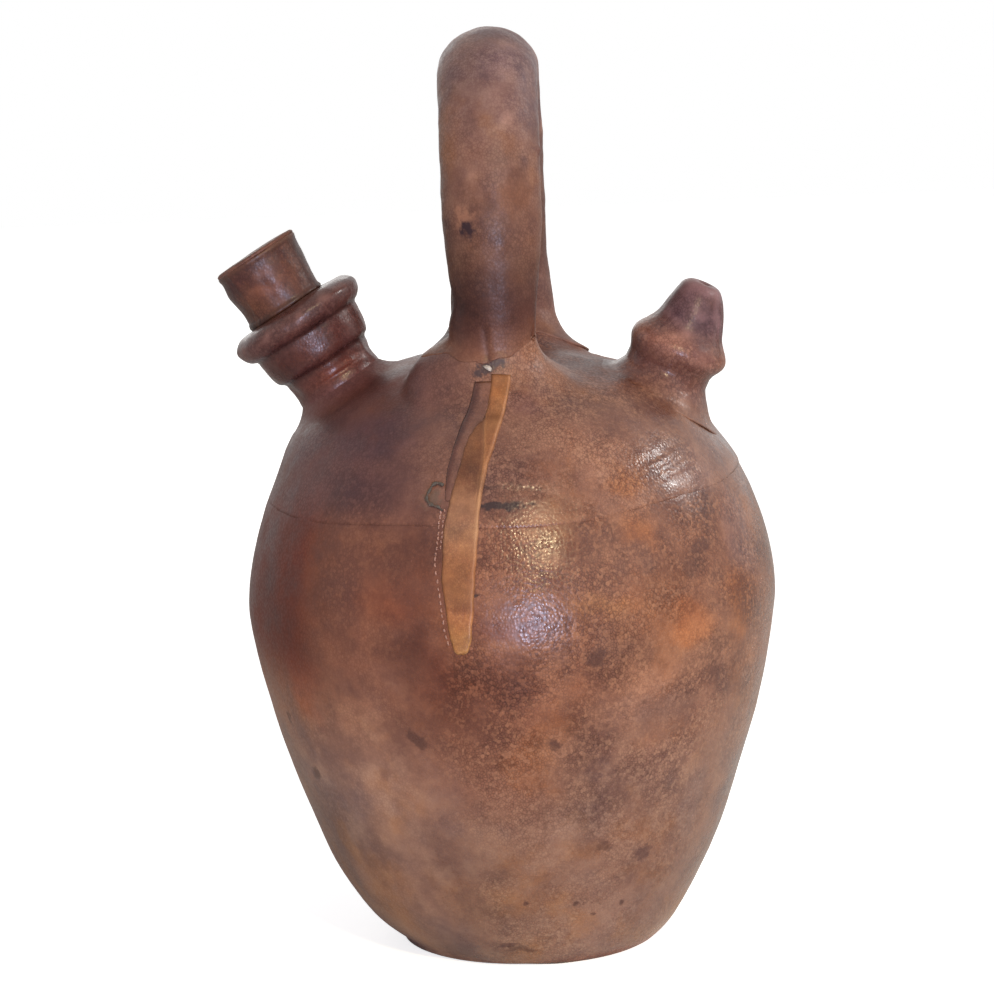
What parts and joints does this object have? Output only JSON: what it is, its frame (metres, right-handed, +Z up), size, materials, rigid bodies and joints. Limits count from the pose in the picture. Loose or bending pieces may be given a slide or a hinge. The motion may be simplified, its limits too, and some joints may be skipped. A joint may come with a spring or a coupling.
{
  "type": "spanish botijo",
  "caption": "Leather-covered clay water jar with a ring handle on top, a tilted filling mouth with a lift-out stopper and a tapered drinking spout.",
  "frame": {"origin": "centre of the flat base, on the surface it stands on", "axes": "+Z up, the ring handle runs front to back along Y, the filling mouth is on -X and the drinking spout on +X"},
  "size_m": [0.2019, 0.1982, 0.3405],
  "materials": {
    "clay": "matt unglazed fired clay",
    "leather_brown": "worn brown leather with a soft sheen",
    "leather_tan": "worn tan leather",
    "leather_stopper": "worn brown leather, rubbed pale in the middle",
    "plug_wood": "turned soft wood, unvarnished"
  },
  "bodies": {
    "jar": {"clay_body": "clay", "clay_dome": "clay", "clay_mouth": "clay", "clay_spout": "clay", "clay_handle": "clay", "body_leather": "leather_brown", "shoulder_leather": "leather_brown", "base_leather": "leather_brown", "front_strip": "leather_tan", "mouth_sleeve": "leather_brown", "spout_sleeve": "leather_brown", "handle_sleeve": "leather_brown", "handle_skirts": "leather_brown"},
    "stopper": {"stopper_plug": "plug_wood", "stopper_leather": "leather_stopper", "stopper_top": "leather_stopper"}
  },
  "joints": [
    {"name": "stopper_lift", "type": "slide", "parent": "jar", "child": "stopper", "axis": [-0.5075, 0, 0.8616], "range_m": [0, 0.045]}
  ]
}
